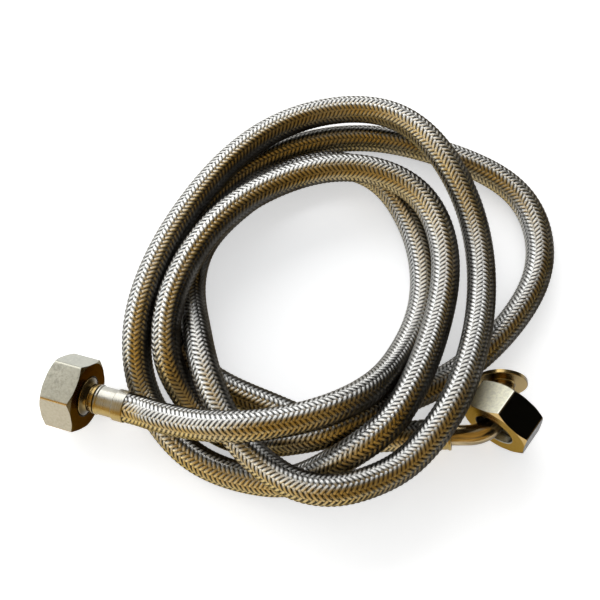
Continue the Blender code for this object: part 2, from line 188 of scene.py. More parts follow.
class FittingSettings(PropertyGroup):
    flange_radius: length_in_mm("Flange radius", "Radius of the flange inside a nut", 11.7)
    tube_radius: length_in_mm("Elbow tube radius", "Radius of the bent tube", 4.6)
    bore_radius: length_in_mm("Bore radius", "Radius of the water's way", 3.5)
    bend_radius: length_in_mm("Bend radius", "Radius of the elbow's bend", 15)
    ferrule_length: length_in_mm("Ferrule length", "Length of a crimped sleeve", 14.2)
    edge: length_in_mm("Edge", "Width of the eased edges", 0.12)


class FinishSettings(PropertyGroup):
    steel: colour_value("Braid steel", "Colour of the bright wires", (0.69, 0.69, 0.67))
    # Gold painted into the wires where they face the front, as a reflection
    steel_warm: colour_value("Braid painted gold reflection", "Colour of the wires' golden side", (0.64, 0.47, 0.17))
    # Nearly black, painted as shade where the wires face right and down
    steel_dull: colour_value("Braid painted shade", "Colour of the wires low on the hose",
                             (0.02, 0.0155, 0.0095))
    nut: colour_value("Nickel", "Colour of the nickel on the nuts", (0.405, 0.402, 0.343))
    # Partly wear and partly painted: also used as a painted warm reflection on the nuts' front flats
    worn: colour_value("Worn edges and painted glint", "Colour where the nuts' plating is worn", (0.60, 0.42, 0.18))
    tube: colour_value("Tube", "Colour of the plated elbow tube", (0.44, 0.335, 0.185))
    brass: colour_value("Brass", "Colour of the turned brass", (0.45, 0.32, 0.13))
    sleeve: colour_value("Ferrule", "Colour of the crimped sleeves", (0.46, 0.447, 0.395))
    # Gold painted low on the sleeves as a reflection
    sleeve_warm: colour_value("Ferrule's painted reflection", "Colour low on the sleeves", (0.40, 0.285, 0.10))
    rubber: colour_value("Rubber", "Colour of the liner and the washer", (0.018, 0.017, 0.016))


class StageSettings(PropertyGroup):
    distance: FloatProperty(name="Camera distance", description="From the camera to the middle of the hose",
                            default=0.413, unit="LENGTH")
    elevation: FloatProperty(name="Camera elevation", description="Height of the camera above the horizon",
                             default=math.radians(70), subtype="ANGLE")
    lens: FloatProperty(name="Lens", description="Focal length of the camera", default=51.0,
                        subtype="DISTANCE_CAMERA")
    key_power: lamp_power("Key light", "Power of the large white light", 15.5)
    side_power: lamp_power("Side light", "Power of the light on the left", 5.0)
    warm_power: lamp_power("Warm light", "Power of the low warm light", 1.6)
    room: FloatProperty(name="Room", description="Level of the room's own light", default=0.4)


def placed(place):
    spot, turn = place
    return Matrix.Translation(spot) @ Euler(turn).to_matrix().to_4x4()


def straight_frame():
    return placed(STRAIGHT_PLACE)


def elbow_frame():
    return placed(ELBOW_PLACE)


def inlet_frame():
    """At the elbow's ferrule, looking towards the hose."""
    return elbow_frame() @ Matrix.Translation((-ELBOW_LEG_IN, 0, 0)) @ Matrix.Rotation(math.pi, 4, "Z")


def outlet_frame():
    """At the elbow's corner, looking along its free leg."""
    return elbow_frame() @ Matrix.Rotation(ELBOW_ANGLE, 4, "Z")


def node(tree, kind, **settings):
    made = tree.nodes.new(kind)
    for key, value in settings.items():
        setattr(made, key, value)
    return made


def feed(tree, socket, value):
    """Links an output to the socket, or sets the socket's plain value."""
    if isinstance(value, bpy.types.NodeSocket):
        tree.links.new(value, socket)
    else:
        socket.default_value = value


def feed_all(tree, made, **values):
    for label, value in values.items():
        feed(tree, made.inputs[label], value)


def math_node(tree, operation, first, second=0.0, clamp=False):
    made = node(tree, "ShaderNodeMath", operation=operation, use_clamp=clamp)
    feed(tree, made.inputs[0], first)
    feed(tree, made.inputs[1], second)
    return made.outputs[0]


def blend_colours(tree, mask, first, second):
    made = node(tree, "ShaderNodeMix", data_type="RGBA")
    feed(tree, made.inputs["Factor"], mask)
    for socket, value in zip((made.inputs[6], made.inputs[7]), (first, second)):
        feed(tree, socket, value if isinstance(value, bpy.types.NodeSocket) else (*value, 1.0))
    return made.outputs[2]


def noise(tree, place, scale, detail=2.0, roughness=0.5, dimensions="3D"):
    made = node(tree, "ShaderNodeTexNoise", noise_dimensions=dimensions)
    feed_all(tree, made, Vector=place, Scale=scale, Detail=detail, Roughness=roughness)
    return made.outputs["Fac"]


def bump(tree, height, distance, strength):
    made = node(tree, "ShaderNodeBump")
    feed_all(tree, made, Height=height, Distance=distance, Strength=strength)
    return made.outputs["Normal"]


def ramp(tree, value, start, end):
    """A mask that eases from 0 at the start value to 1 at the end value."""
    made = node(tree, "ShaderNodeMapRange", interpolation_type="SMOOTHSTEP")
    feed(tree, made.inputs["Value"], value)
    feed(tree, made.inputs["From Min"], start)
    feed(tree, made.inputs["From Max"], end)
    return made.outputs["Result"]


def spread_value(tree, value, low, high):
    """The busy middle of a noise, from 0.3 to 0.7, read as low to high."""
    made = node(tree, "ShaderNodeMapRange")
    feed(tree, made.inputs["Value"], value)
    for label, number in (("From Min", 0.3), ("From Max", 0.7), ("To Min", low), ("To Max", high)):
        made.inputs[label].default_value = number
    return made.outputs["Result"]


def new_group(name, inputs, outputs):
    """An empty node group; it is returned with its input and output nodes."""
    group = bpy.data.node_groups.new(name, "ShaderNodeTree")
    for direction, sockets in (("INPUT", inputs), ("OUTPUT", outputs)):
        for label, kind in sockets.items():
            group.interface.new_socket(label, in_out=direction, socket_type=kind)
    return group, node(group, "NodeGroupInput"), node(group, "NodeGroupOutput")


def built_once(build):
    """A group is built the first time, and then found again under its function's name."""
    def find():
        return bpy.data.node_groups.get(build.__name__) or build(build.__name__)
    return find


@built_once
def ring_marks(name):
    """Fine rings that the lathe's tool leaves round a piece's own axis."""
    group, start, end = new_group(name, {"Local": VECTOR, "Fineness": FLOAT, "Depth": FLOAT},
                                  {"Mark": FLOAT, "Normal": VECTOR})
    parts = node(group, "ShaderNodeSeparateXYZ")
    feed(group, parts.inputs[0], start.outputs["Local"])
    across = math_node(group, "POWER", parts.outputs["Y"], 2.0)
    up = math_node(group, "POWER", parts.outputs["Z"], 2.0)
    flat = node(group, "ShaderNodeCombineXYZ")
    feed_all(group, flat, X=parts.outputs["X"],
             Y=math_node(group, "SQRT", math_node(group, "ADD", across, up)))
    mark = noise(group, flat.outputs[0], start.outputs["Fineness"], 3.0, 0.7, dimensions="2D")
    normal = bump(group, mark, 0.05 * MM, start.outputs["Depth"])
    feed_all(group, end, Mark=mark, Normal=normal)
    return group


@built_once
def metal_grain(name):
    """Blasted grain: a fine one for the bump and a broad one for the colour."""
    group, start, end = new_group(name, {"Local": VECTOR, "Fineness": FLOAT, "Depth": FLOAT},
                                  {"Speckle": FLOAT, "Cloud": FLOAT, "Normal": VECTOR})
    fine = noise(group, start.outputs["Local"], start.outputs["Fineness"], 4.0, 0.65)
    broad = noise(group, start.outputs["Local"], 140.0, 3.0)
    normal = bump(group, fine, 0.06 * MM, start.outputs["Depth"])
    feed_all(group, end, Speckle=fine, Cloud=broad, Normal=normal)
    return group


@built_once
def facing_mask(name):
    """How far the surface faces a fixed direction of the room, from 0 to 1."""
    group, start, end = new_group(name, {"Direction": VECTOR, "From": FLOAT, "To": FLOAT}, {"Mask": FLOAT})
    dot = node(group, "ShaderNodeVectorMath", operation="DOT_PRODUCT")
    feed(group, dot.inputs[0], node(group, "ShaderNodeNewGeometry").outputs["Normal"])
    feed(group, dot.inputs[1], start.outputs["Direction"])
    feed_all(group, end, Mask=ramp(group, dot.outputs["Value"], start.outputs["From"], start.outputs["To"]))
    return group


@built_once
def wire_lines(name):
    """Round wires side by side across a strand, from the weave's own map, with masks for the grooves and the
    strand's edges where the braid's look paints shade.
    """
    group, start, end = new_group(name, {"Weave": VECTOR, "Wires": FLOAT, "Depth": FLOAT},
                                  {"Groove": FLOAT, "Edge": FLOAT, "Normal": VECTOR})
    parts = node(group, "ShaderNodeSeparateXYZ")
    feed(group, parts.inputs[0], start.outputs["Weave"])
    turns = math_node(group, "MULTIPLY", parts.outputs["X"], start.outputs["Wires"])
    wave = math_node(group, "SINE", math_node(group, "MULTIPLY", turns, math.pi))
    height = math_node(group, "ABSOLUTE", wave)
    middle = math_node(group, "ABSOLUTE", math_node(group, "SUBTRACT", parts.outputs["X"], 0.5))
    feed_all(group, end, Groove=ramp(group, height, 0.5, 0.0), Edge=ramp(group, middle, 0.13, 0.46),
             Normal=bump(group, height, 0.08 * MM, start.outputs["Depth"]))
    return group


def use_group(tree, group, **values):
    made = node(tree, "ShaderNodeGroup", node_tree=group)
    feed_all(tree, made, **values)
    return made


def facing(tree, side):
    return use_group(tree, facing_mask(), **side).outputs["Mask"]


def new_look(name, metallic, grazing=(1.0, 1.0, 1.0)):
    """A material with its plain values on the shader itself."""
    look = bpy.data.materials.new(name)
    look.use_nodes = True
    shader = look.node_tree.nodes["Principled BSDF"]
    shader.inputs["Metallic"].default_value = metallic
    shader.inputs["Specular Tint"].default_value = (*grazing, 1.0)
    return look, look.node_tree, shader


def finish_look(tree, shader, colour, roughness, normal):
    feed(tree, shader.inputs["Base Color"], colour)
    feed_all(tree, shader, Roughness=roughness, Normal=normal)


def object_place(tree):
    return node(tree, "ShaderNodeTexCoord").outputs["Object"]


def local_place(tree, matrix):
    """The piece's own coordinates, with +X along its axis."""
    turn = node(tree, "ShaderNodeMapping", vector_type="TEXTURE")
    feed_all(tree, turn, Location=matrix.to_translation(), Rotation=matrix.to_euler("XYZ"),
             Vector=object_place(tree))
    return turn.outputs["Vector"]


def times(colour, share):
    return tuple(channel * share for channel in colour)


def shaded(tree, tone, colour, share):
    """The tone, nearly black where a fitting faces the studio's dark side."""
    mask = math_node(tree, "MULTIPLY", facing(tree, FITTING_SHADE), share)
    return blend_colours(tree, mask, tone, times(colour, 0.12))


def nickel_look(name, matrix, finish):
    """Satin nickel on machined flats: grain and faint clouds, with a painted warm reflection, painted pale
    light and painted near-black shade on flats that face given sides of the room.
    """
    look, tree, shader = new_look(name, 1.0)
    grain = use_group(tree, metal_grain(), Local=local_place(tree, matrix), Fineness=900.0, Depth=0.4)
    speckle = spread_value(tree, grain.outputs["Speckle"], 0.0, 1.0)
    tone = blend_colours(tree, speckle, times(finish.nut, 0.42), times(finish.nut, 1.35))
    tone = blend_colours(tree, grain.outputs["Cloud"], tone, times(finish.nut, 1.08))
    # Painted warm reflection: flats that face the front take some of the worn brass colour
    painted_warm_front = math_node(tree, "MULTIPLY", facing(tree, NUT_PAINTED_WARM_REFLECTION_SIDE), 0.3)
    tone = blend_colours(tree, painted_warm_front, tone, times(finish.worn, 0.8))
    # Painted light: pale, rougher flats where they face up, left and back
    painted_light = facing(tree, NUT_PAINTED_LIGHT_SIDE)
    painted_light_tone = blend_colours(tree, speckle, times(finish.nut, 1.5), times(finish.nut, 2.2))
    tone = blend_colours(tree, painted_light, tone, painted_light_tone)
    # Painted shade: nearly black on flats that face right and front
    tone = blend_colours(tree, facing(tree, NUT_PAINTED_SHADE_SIDE), tone, times(finish.nut, 0.06))
    satin = spread_value(tree, grain.outputs["Speckle"], 0.3, 0.46)
    roughness = math_node(tree, "ADD", satin, math_node(tree, "MULTIPLY", painted_light, 0.35))
    finish_look(tree, shader, tone, roughness, grain.outputs["Normal"])
    return look


def turned_look(name, matrix, colour, roughness, depth=0.25, painted_tint=None, grazing=(1.0, 1.0, 1.0)):
    """Bright turned metal with the lathe's rings, painted shade where it faces the studio's dark side, and,
    if it is given, another painted tone towards one side.
    """
    look, tree, shader = new_look(name, 1.0, grazing)
    local = local_place(tree, matrix)
    rings = use_group(tree, ring_marks(), Local=local, Fineness=5200.0, Depth=depth)
    grain = use_group(tree, metal_grain(), Local=local, Fineness=900.0, Depth=0.1)
    tone = blend_colours(tree, rings.outputs["Mark"], times(colour, 0.82), colour)
    tone = blend_colours(tree, grain.outputs["Cloud"], times(colour, 0.9), tone)
    # Painted shade towards the studio's dark side
    tone = shaded(tree, tone, colour, 0.93)
    # A painted reflection: another tone where the surface faces one side
    if painted_tint:
        side, side_colour = painted_tint
        tone = blend_colours(tree, facing(tree, side), tone, side_colour)
    ringed = spread_value(tree, rings.outputs["Mark"], roughness * 0.8, roughness * 1.3)
    finish_look(tree, shader, tone, ringed, rings.outputs["Normal"])
    return look


def drawn_tube_look(name, finish):
    """Plated tube with the long streaks of drawing."""
    look, tree, shader = new_look(name, 1.0)
    stretch = node(tree, "ShaderNodeMapping")
    feed_all(tree, stretch, Scale=(26.0, 1.2, 1.0),
             Vector=node(tree, "ShaderNodeUVMap", uv_map="along").outputs["UV"])
    streak = noise(tree, stretch.outputs["Vector"], 1.0, 3.0, dimensions="2D")
    tone = blend_colours(tree, spread_value(tree, streak, 0.0, 1.0), times(finish.tube, 0.6),
                         times(finish.tube, 1.2))
    # Painted shade where the tube faces the studio's dark side
    finish_look(tree, shader, shaded(tree, tone, finish.tube, 0.85), spread_value(tree, streak, 0.14, 0.26),
                bump(tree, streak, 0.05 * MM, 0.15))
    return look


def braid_look(braid, finish):
    """Woven steel wires with painted shade in the grooves and gaps, a painted gold reflection on the side
    that faces the front, and painted shade on the side that faces right and down.
    """
    look, tree, shader = new_look("braid_wire", 1.0, BRAID_GRAZING)
    weave = node(tree, "ShaderNodeUVMap", uv_map="weave").outputs["UV"]
    wires = use_group(tree, wire_lines(), Weave=weave, Wires=braid.wires, Depth=0.5)
    tarnish = noise(tree, object_place(tree), 60.0, 4.0)
    # Painted gold reflection on the wires that face the front
    tone = blend_colours(tree, facing(tree, BRAID_PAINTED_GOLD_REFLECTION_SIDE), finish.steel, finish.steel_warm)
    # Painted shade on the wires that face right and down
    tone = blend_colours(tree, facing(tree, BRAID_PAINTED_SHADE_SIDE), tone, finish.steel_dull)
    tone = blend_colours(tree, spread_value(tree, tarnish, 0.0, 0.35), tone, times(finish.steel, 0.72))
    # Painted shade: darker in the grooves between wires, and nearly black at each strand's edges where shade
    # falls between strands
    for part, strength, share in (("Groove", 0.5, 0.25), ("Edge", 0.93, 0.07)):
        mask = math_node(tree, "MULTIPLY", wires.outputs[part], strength)
        tone = blend_colours(tree, mask, tone, times(finish.steel, share))
    finish_look(tree, shader, tone, spread_value(tree, tarnish, 0.26, 0.38), wires.outputs["Normal"])
    return look


def rubber_look(name, finish):
    look, tree, shader = new_look(name, 0.0)
    grain = use_group(tree, metal_grain(), Local=object_place(tree), Fineness=1500.0, Depth=0.4)
    tone = blend_colours(tree, grain.outputs["Speckle"], times(finish.rubber, 0.7), times(finish.rubber, 1.6))
    finish_look(tree, shader, tone, spread_value(tree, grain.outputs["Cloud"], 0.5, 0.75),
                grain.outputs["Normal"])
    return look


def smooth_curve(points, step):
    """Natural cubic spline through the points, read at every step along it."""
    points = np.array(points)
    along = np.concatenate([[0], np.cumsum(np.linalg.norm(np.diff(points, axis=0), axis=1))])
    gap = np.diff(along)
    count = len(points)
    system = np.eye(count)
    right = np.zeros((count, 3))
    for i in range(1, count - 1):
        system[i, i - 1:i + 2] = gap[i - 1], 2 * (gap[i - 1] + gap[i]), gap[i]
        rise = (points[i + 1] - points[i]) / gap[i] - (points[i] - points[i - 1]) / gap[i - 1]
        right[i] = 6 * rise
    bend = np.linalg.solve(system, right)
    curve = []
    for place in np.linspace(0, along[-1], int(along[-1] / step) + 1):
        i = min(int(np.searchsorted(along, place, side="right")) - 1, count - 2)
        before, after = along[i + 1] - place, place - along[i]
        cubic = (bend[i] * before ** 3 + bend[i + 1] * after ** 3) / (6 * gap[i])
        low = (points[i] / gap[i] - bend[i] * gap[i] / 6) * before
        high = (points[i + 1] / gap[i] - bend[i + 1] * gap[i] / 6) * after
        curve.append(cubic + low + high)
    return np.array(curve)


def centre_line():
    """The hose's centreline between the two ferrules' mouths, read closely."""
    straight = straight_frame()
    inlet = inlet_frame()
    start = [straight @ Vector((along, 0, 0)) for along in (STRAIGHT_MOUTH, STRAIGHT_MOUTH + LEAD_STRAIGHT)]
    end = [inlet @ Vector((along, 0, 0)) for along in (ELBOW_MOUTH + LEAD_ELBOW, ELBOW_MOUTH)]
    return smooth_curve(start + ROUTE + end, 0.5 * MM)


def read_line(line, spacing, tuck):
    """Points at one spacing along the line, which is carried on straight into both ferrules."""
    back = (line[0] - line[1]) / np.linalg.norm(line[0] - line[1])
    on = (line[-1] - line[-2]) / np.linalg.norm(line[-1] - line[-2])
    line = np.vstack([line[0] + back * tuck, line, line[-1] + on * tuck])
    along = np.concatenate([[0], np.cumsum(np.linalg.norm(np.diff(line, axis=0), axis=1))])
    wanted = np.arange(0, along[-1], spacing)
    return np.stack([np.interp(wanted, along, line[:, axis]) for axis in range(3)], axis=1)


def untwisted_frames(line):
    """Tangent, side and up at each point, carried along without twist."""
    tangent = np.gradient(line, axis=0)
    tangent /= np.linalg.norm(tangent, axis=1)[:, None]
    side = np.zeros_like(line)
    start = np.cross(tangent[0], (0.0, 0.0, 1.0))
    side[0] = start / np.linalg.norm(start)
    for i in range(1, len(line)):
        carried = side[i - 1] - tangent[i] * np.dot(side[i - 1], tangent[i])
        side[i] = carried / np.linalg.norm(carried)
    return tangent, side, np.cross(tangent, side)


def finished(name, shape, look, body, nodes=(), even=True, flat_angle=30):
    """The mesh as an object that rides on its body and stands for its CAD nodes."""
    mesh = bpy.data.meshes.new(name)
    shape.to_mesh(mesh)
    shape.free()
    mesh.shade_smooth()
    mesh.set_sharp_from_angle(angle=math.radians(flat_angle))
    piece = bpy.data.objects.new(name, mesh)
    bpy.context.scene.collection.objects.link(piece)
    mesh.materials.append(look)
    if even:
        piece.modifiers.new("even_faces", "WEIGHTED_NORMAL").keep_sharp = True
    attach(piece, body)
    if nodes:
        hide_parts(*nodes)
    return piece


def turning_edges(shape, least):
    """The edges where two faces meet at more than the least angle, in degrees."""
    return [edge for edge in shape.edges
            if len(edge.link_faces) == 2 and edge.calc_face_angle(0) > math.radians(least)]


def ease_edges(shape, width, least=25):
    """Bevels every edge that turns by more than the least angle."""
    bmesh.ops.bevel(shape, geom=turning_edges(shape, least), offset=width, segments=2, profile=0.5,
                    material=-1, affect="EDGES", clamp_overlap=True)


def wear_corners(shape, width):
    """Rounds the hexagon's six long corners, and returns the strips that show worn brass. Their gold is
    partly wear and partly a painted reflection, which the worn look keeps off the strips that face back.
    """
    corners = [edge for edge in turning_edges(shape, 40)
               if abs((edge.verts[0].co - edge.verts[1].co).normalized().x) > 0.99]
    return bmesh.ops.bevel(shape, geom=corners, offset=width, segments=2, profile=0.5, material=-1,
                           affect="EDGES", clamp_overlap=False)["faces"]


def turned_shape(outline, steps=96):
    """A closed (x, radius) outline in millimetres, turned once round the X axis."""
    shape = bmesh.new()
    corners = [shape.verts.new((x * MM, 0, radius * MM)) for x, radius in outline]
    edges = [shape.edges.new(pair) for pair in zip(corners, corners[1:] + corners[:1])]
    bmesh.ops.spin(shape, geom=corners + edges, axis=(1, 0, 0), cent=(0, 0, 0),
                   angle=2 * math.pi, steps=steps, use_merge=True)
    bmesh.ops.remove_doubles(shape, verts=shape.verts, dist=0.001 * MM)
    bmesh.ops.recalc_face_normals(shape, faces=shape.faces)
    return shape


def moved(shape, matrix):
    bmesh.ops.transform(shape, matrix=matrix, verts=shape.verts)
    return shape


def hexagon_radius(angle, across_flats):
    """Distance from the axis to the hexagon's side at an angle from a corner."""
    from_flat = (angle % math.radians(60)) - math.radians(30)
    return across_flats / 2 / math.cos(from_flat)


def nut_shape(sizes):
    """Hexagon with coned ends, a shoulder hole, and a thread wound inside."""
    flats = sizes.across_flats / MM
    length = sizes.length / MM
    root = sizes.root_radius / MM
    hole = sizes.hole_radius / MM
    inner = -sizes.shoulder / MM
    chamfer = sizes.chamfer / MM
    end_r = flats / 2 + 0.2
    outline = [(-length, end_r), (-length + chamfer, NUT_BLANK), (-chamfer, NUT_BLANK), (0, end_r),
               (0, hole + 0.35), (-0.35, hole), (inner, hole), (inner, root - 0.4), (inner - 0.8, root),
               (-length + 0.9, root), (-length, root + 0.7)]
    shape = turned_shape(outline)
    cut_hexagon(shape, flats, length, end_r, chamfer)
    for face in wear_corners(shape, sizes.edge):
        face.material_index = WORN_AND_PAINTED_GLINT
    ease_edges(shape, sizes.small_edge, least=20)
    add_thread(shape, root, sizes.crest_radius / MM, sizes.pitch / MM, -length + 0.8, inner - 1.2)
    bmesh.ops.recalc_face_normals(shape, faces=shape.faces)
    wear_ends(shape, end_r)
    return shape


def cut_hexagon(shape, flats, length, end_r, chamfer):
    """Brings the turned blank's outside in to the six flats, and trims their ends to cones."""
    slope = (flats / math.sqrt(3) + 0.4 - end_r) / chamfer
    for vert in shape.verts:
        x, y, z = (part / MM for part in vert.co)
        radius = math.hypot(y, z)
        if radius < end_r - 0.01:
            continue
        side = hexagon_radius(math.atan2(z, y), flats)
        if radius > end_r + 0.5:
            trim = max(0.0, (side - end_r) / slope)
            x = -length + trim if x < -length / 2 else -trim
        new_radius = min(side, radius)
        vert.co = Vector((x, y * new_radius / radius, z * new_radius / radius)) * MM
    bmesh.ops.remove_doubles(shape, verts=shape.verts, dist=0.01 * MM)
    bmesh.ops.dissolve_degenerate(shape, dist=0.001 * MM, edges=shape.edges)


def wear_ends(shape, end_r):
    """Marks the shoulder's end and both cones as worn."""
    for face in shape.faces:
        middle = face.calc_center_median() / MM
        shoulder_end = face.normal.x > 0.9 and middle.x > -0.1
        cone = 0.4 < abs(face.normal.x) < 0.95 and math.hypot(middle.y, middle.z) > end_r - 0.1
        if shoulder_end or cone:
            face.material_index = WORN_AND_PAINTED_GLINT


def add_thread(shape, root, crest, pitch, start, end):
    """A ridge with sloping flanks, wound from the nut's mouth towards its shoulder."""
    half = pitch * 0.36
    ridge = [(start - half, root + 0.15), (start - 0.12, crest), (start + 0.12, crest),
             (start + half, root + 0.15)]
    corners = [shape.verts.new((x * MM, 0, radius * MM)) for x, radius in ridge]
    face = shape.faces.new(corners)
    turns = (end - start - half) / pitch
    steps = int(turns * 48)
    bmesh.ops.spin(shape, geom=[face] + list(face.edges) + corners, axis=(1, 0, 0), cent=(0, 0, 0),
                   dvec=(pitch * MM * turns / steps, 0, 0), angle=2 * math.pi * turns, steps=steps)


def union_nuts(context):
    finish = context.scene.hose_finish
    for label, place in (("straight", STRAIGHT_PLACE), ("elbow", ELBOW_NUT_PLACE)):
        matrix = placed(place)
        look = nickel_look(label + "_nut_nickel", matrix, finish)
        # Worn brass that is partly a painted gold reflection, kept to strips facing front, with painted shade
        # on the studio's dark side
        worn = turned_look(label + "_nut_worn_brass_painted_glint", matrix, finish.worn, 0.24, 0.15,
                           (NUT_BACK_NO_PAINTED_GLINT, finish.nut), WORN_GRAZING)
        shape = moved(nut_shape(context.scene.hose_nuts), matrix)
        piece = finished(label + "_nut_dressed", shape, look, label + "_nut",
                         (label + "_union_nut",))
        piece.data.materials.append(worn)


def straight_tail(context):
    """Flange, neck, sloped collar, groove and ring, turned in one piece with its barbed stem."""
    flange = context.scene.hose_fittings.flange_radius / MM
    bore = context.scene.hose_fittings.bore_radius / MM
    outline = [(-5.8, bore), (-5.8, flange - 0.25), (-5.55, flange), (-3.55, flange),
               (-3.3, flange - 0.25), (-3.3, 8.7), (0.15, 8.7), (0.4, 8.5), (0.9, 7.6), (1.6, 6.8),
               (2.3, 6.4), (2.3, 5.6), (3.0, 5.6), (3.0, 6.45), (3.15, 6.6), (4.85, 6.6), (5.0, 6.45),
               (5.0, 4.4)]
    pitch = 2.9
    for k in range(4):
        tooth = 5.3 + 0.7 + pitch * k
        outline += [(tooth, 4.4), (tooth, 4.9), (tooth + pitch * 0.3, 4.9)]
    outline += [(19.2, 4.4), (19.2, bore)]
    shape = turned_shape(outline)
    ease_edges(shape, context.scene.hose_fittings.edge)
    matrix = straight_frame()
    look = turned_look("tail_brass", matrix, context.scene.hose_finish.brass, 0.2)
    finished("straight_tail_dressed", moved(shape, matrix), look, "hose_and_fittings",
             ("straight_tail",))


def sealing_washer(context):
    outline = [(-8.6, 6.75), (-8.6, 11.2), (-8.3, 11.5), (-6.4, 11.5), (-6.1, 11.2), (-6.1, 6.75)]
    shape = turned_shape(outline, steps=72)
    ease_edges(shape, 0.2 * MM)
    look = rubber_look("washer_rubber", context.scene.hose_finish)
    finished("sealing_washer_dressed", moved(shape, straight_frame()), look, "hose_and_fittings",
             ("straight_sealing_washer",))


def ferrules(context):
    """Crimped sleeves: a bead at the fitting's end, a plain waist and a band over the braid."""
    finish = context.scene.hose_finish
    length = context.scene.hose_fittings.ferrule_length / MM
    band = length - 5.3
    outline = [(0, 5.2), (0, 6.4), (0.4, 6.8), (1.1, 6.8), (1.6, 6.45), (band - 0.1, 6.45),
               (band + 0.35, 7.15), (length - 0.45, 7.15), (length + 0.05, 6.95),
               (length + 0.05, 6.82), (length - 1.6, 6.82), (length - 1.6, 5.2)]
    for label, matrix in (("straight", straight_frame() @ Matrix.Translation((FERRULE_START, 0, 0))),
                          ("elbow", inlet_frame())):
        shape = turned_shape(outline)
        ease_edges(shape, context.scene.hose_fittings.edge)
        # The sleeves get painted shade on the studio's dark side and a painted gold reflection low at the
        # front
        look = turned_look(label + "_ferrule_steel", matrix, finish.sleeve, 0.3, 0.08,
                           (FERRULE_PAINTED_REFLECTION_SIDE, finish.sleeve_warm))
        finished(label + "_ferrule_dressed", moved(shape, matrix), look, "hose_and_fittings",
                 (label + "_ferrule",))


def region(faces):
    edges = dict.fromkeys(edge for face in faces for edge in face.edges)
    corners = dict.fromkeys(corner for face in faces for corner in face.verts)
    return faces + list(edges) + list(corners)


def grow(shape, faces, offset):
    grown = bmesh.ops.extrude_face_region(shape, geom=region(faces))["geom"]
    corners = [item for item in grown if isinstance(item, bmesh.types.BMVert)]
    bmesh.ops.translate(shape, verts=corners, vec=offset)
    return [item for item in grown if isinstance(item, bmesh.types.BMFace)]


def tube_map(shape, tangent, bend_radius):
    """Maps the tube: once round across, and its length in centimetres along."""
    layer = shape.loops.layers.uv.new("along")
    for face in shape.faces:
        places = [round_and_along(loop.vert.co, tangent, bend_radius) for loop in face.loops]
        first = places[0][0]
        for loop, (around, along) in zip(face.loops, places):
            if around - first > 0.5:
                around -= 1
            elif first - around > 0.5:
                around += 1
            loop[layer].uv = (around, along * 100)


def round_and_along(place, tangent, bend_radius):
    """Where a point of the tube lies round it, from 0 to 1, and along it."""
    centre = Vector((-tangent, bend_radius, 0))
    if place.x <= -tangent + 1e-7 and place.y < bend_radius:
        return math.atan2(place.z, place.y) / (2 * math.pi), place.x
    spoke = Vector((place.x, place.y, 0)) - centre
    turn = math.atan2(spoke.x, -spoke.y)
    if turn <= ELBOW_ANGLE + 1e-6:
        inward = bend_radius - spoke.length
        return math.atan2(place.z, inward) / (2 * math.pi), -tangent + turn * bend_radius
    onward = Vector((math.cos(ELBOW_ANGLE), math.sin(ELBOW_ANGLE), 0))
    aside = Vector((-onward.y, onward.x, 0))
    straight = place.dot(onward)
    bent = -tangent + ELBOW_ANGLE * bend_radius
    return math.atan2(place.z, place.dot(aside)) / (2 * math.pi), bent + straight - tangent


def elbow_tube(context):
    """A straight leg into the ferrule, the bend, and a straight leg to the flange."""
    sizes = context.scene.hose_fittings
    tangent = sizes.bend_radius * math.tan(ELBOW_ANGLE / 2)
    start = -35.6 * MM
    shape = bmesh.new()
    for radius in (sizes.tube_radius, sizes.bore_radius):
        bmesh.ops.create_circle(shape, segments=48, radius=radius)
    bmesh.ops.bridge_loops(shape, edges=shape.edges[:])
    bmesh.ops.rotate(shape, verts=shape.verts, cent=(0, 0, 0),
                     matrix=Euler((0, math.pi / 2, 0)).to_matrix())
    bmesh.ops.translate(shape, verts=shape.verts, vec=(start, 0, 0))
    end = grow(shape, shape.faces[:], (-tangent - start, 0, 0))
    bent = bmesh.ops.spin(shape, geom=region(end), cent=(-tangent, sizes.bend_radius, 0), axis=(0, 0, 1),
                          angle=ELBOW_ANGLE, steps=36)
    last = [item for item in bent["geom_last"] if isinstance(item, bmesh.types.BMFace)]
    reach = 26.5 * MM - tangent
    grow(shape, last, (reach * math.cos(ELBOW_ANGLE), reach * math.sin(ELBOW_ANGLE), 0))
    bmesh.ops.recalc_face_normals(shape, faces=shape.faces)
    ease_edges(shape, 0.2 * MM, least=60)
    tube_map(shape, tangent, sizes.bend_radius)
    look = drawn_tube_look("elbow_tube_plating", context.scene.hose_finish)
    finished("elbow_tube_dressed", moved(shape, elbow_frame()), look, "hose_and_fittings",
             ("elbow_tube",))


def elbow_flange(context):
    """The disc that the loose nut pulls on, with its hub brazed round the tube."""
    flange = context.scene.hose_fittings.flange_radius / MM
    outline = [(21.3, 4.55), (21.3, 5.2), (21.7, 5.65), (22.1, 5.8), (24.4, 5.8), (24.8, 6.3),
               (24.8, flange - 0.3), (25.05, flange), (26.55, flange), (26.8, flange - 0.3),
               (26.8, 4.85), (26.6, 4.6), (26.6, 4.55)]
    shape = turned_shape(outline)
    ease_edges(shape, context.scene.hose_fittings.edge)
    matrix = outlet_frame()
    look = turned_look("flange_brass", matrix, context.scene.hose_finish.brass, 0.22)
    finished("elbow_flange_dressed", moved(shape, matrix), look, "hose_and_fittings",
             ("elbow_flange",))


